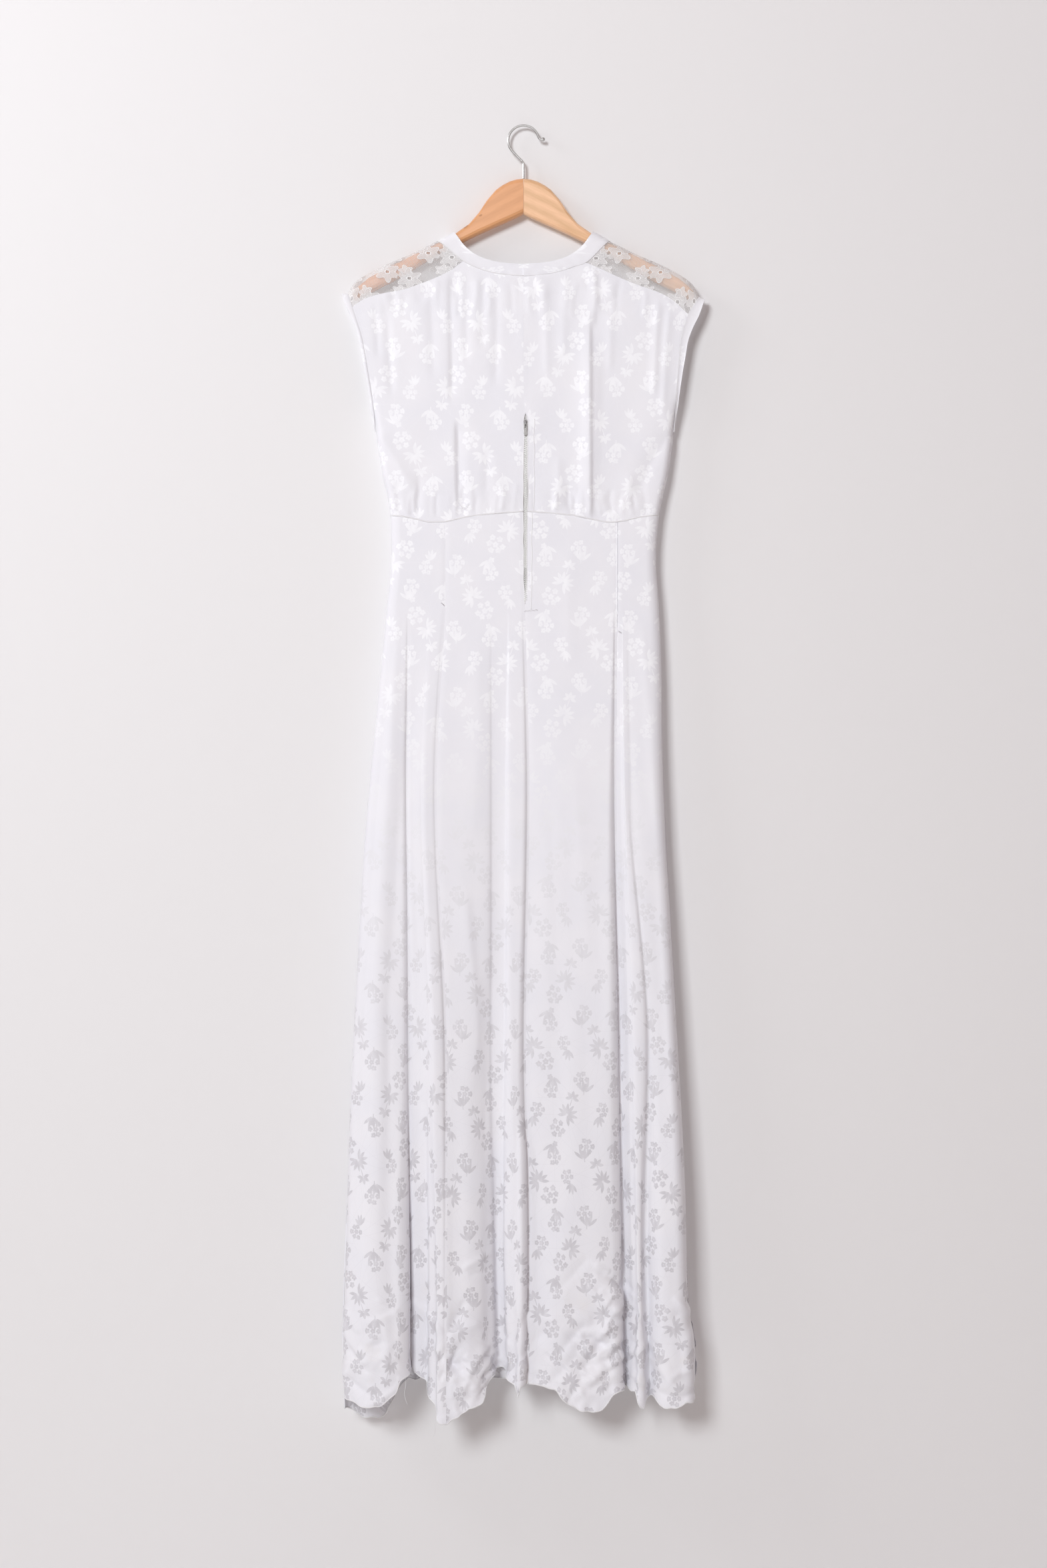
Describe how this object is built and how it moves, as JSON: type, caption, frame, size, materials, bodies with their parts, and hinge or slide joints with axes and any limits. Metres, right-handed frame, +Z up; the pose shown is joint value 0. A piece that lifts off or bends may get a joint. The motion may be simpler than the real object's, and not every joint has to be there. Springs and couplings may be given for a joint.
{
  "type": "brocade maxi dress on a wooden hanger",
  "caption": "Sleeveless floor-length white brocade dress with lace shoulders, hung flat by its shoulders on a wooden hanger with a steel hook",
  "frame": {"origin": "the underside of the hook's top, where a rail or peg bears", "axes": "+X to the right of a viewer who sees the dress's back, +Y away from that viewer (the dress's front side), +Z up; the side seams lie in the plane y = 0"},
  "size_m": [0.4622, 0.0666, 1.652],
  "materials": {
    "brocade": "white woven jacquard with a soft sheen and satin flower motifs",
    "lace": "white lace net with raised flower outlines",
    "zip_tape": "woven white zip tape",
    "zip_metal": "dull grey metal",
    "wood": "honey-coloured varnish over fine grain",
    "steel_wire": "bright drawn wire"
  },
  "bodies": {
    "dress_and_hanger": {"bodice_back_left": "brocade", "bodice_back_right": "brocade", "bodice_front": "brocade", "lace_yoke_left": "lace", "lace_yoke_right": "lace", "neckband_left": "brocade", "neckband_right": "brocade", "armhole_band_left": "brocade", "armhole_band_right": "brocade", "skirt_back_left_side": "brocade", "skirt_back_centre_left": "brocade", "skirt_back_centre_right": "brocade", "skirt_back_right_side": "brocade", "skirt_front": "brocade", "zip_tape": "zip_tape", "zip_slider": "zip_metal", "hanger_arm_left": "wood", "hanger_arm_right": "wood", "hanger_hook": "steel_wire"},
    "pull_tab": {"zip_pull": "zip_metal"}
  },
  "joints": [
    {"name": "pull_flip", "type": "hinge", "parent": "dress_and_hanger", "child": "pull_tab", "pos_m": [0.0026, -0.0127, -0.3807], "axis": [-1, 0, 0], "range_deg": [0, 170]}
  ]
}
